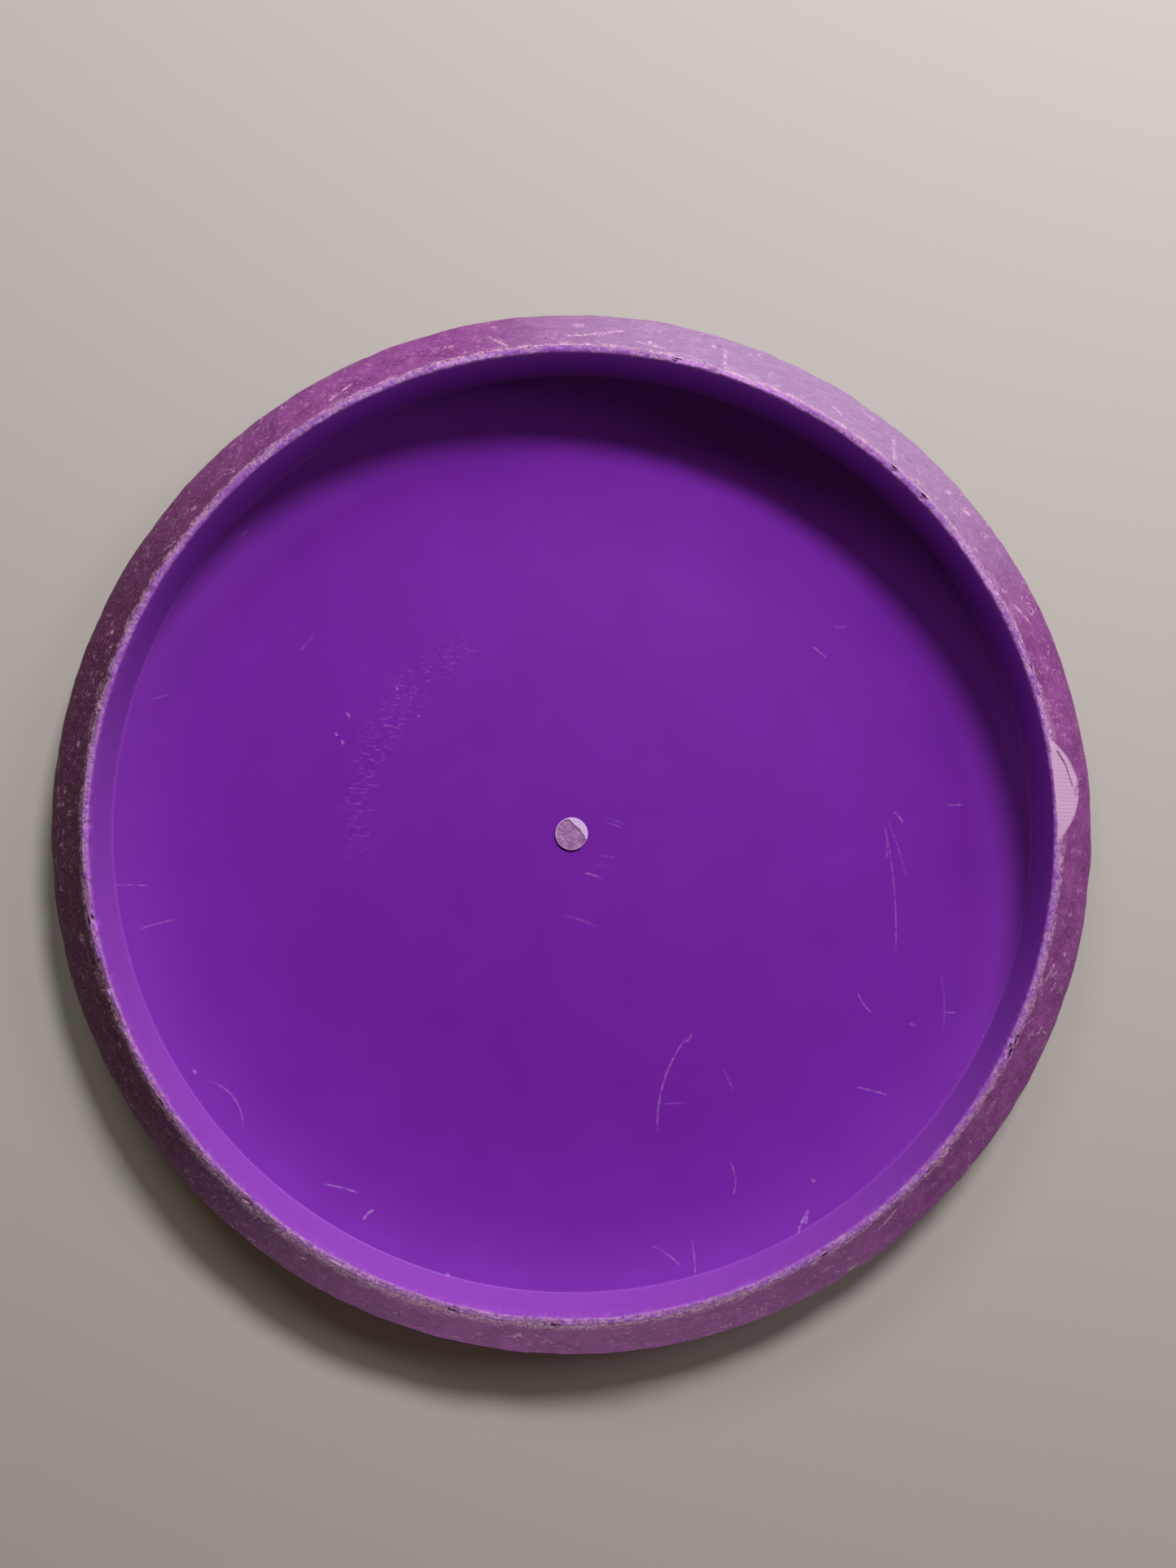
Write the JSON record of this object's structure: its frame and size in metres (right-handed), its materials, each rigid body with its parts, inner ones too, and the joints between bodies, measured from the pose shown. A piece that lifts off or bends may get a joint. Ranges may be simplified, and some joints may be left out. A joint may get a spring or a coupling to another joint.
{
  "type": "putter-type flying disc",
  "caption": "Round moulded flying disc with a deep beaded rim, a gently domed flight plate and an overmoulded outer rim, lying open side up.",
  "frame": {"origin": "middle of the flat of the crown, where the disc rests when it lies open side up", "axes": "+Z along the spin axis, out of the open underside; X and Y are any two square directions across the disc"},
  "size_m": [0.212, 0.212, 0.02],
  "materials": {
    "core_plastic": "violet moulded thermoplastic, satin, lightly scratched",
    "rim_plastic": "plum moulded thermoplastic, worn dull, pitted and scuffed"
  },
  "bodies": {
    "root": {"flight_plate_core": "core_plastic", "rim_overmould": "rim_plastic"}
  },
  "joints": []
}
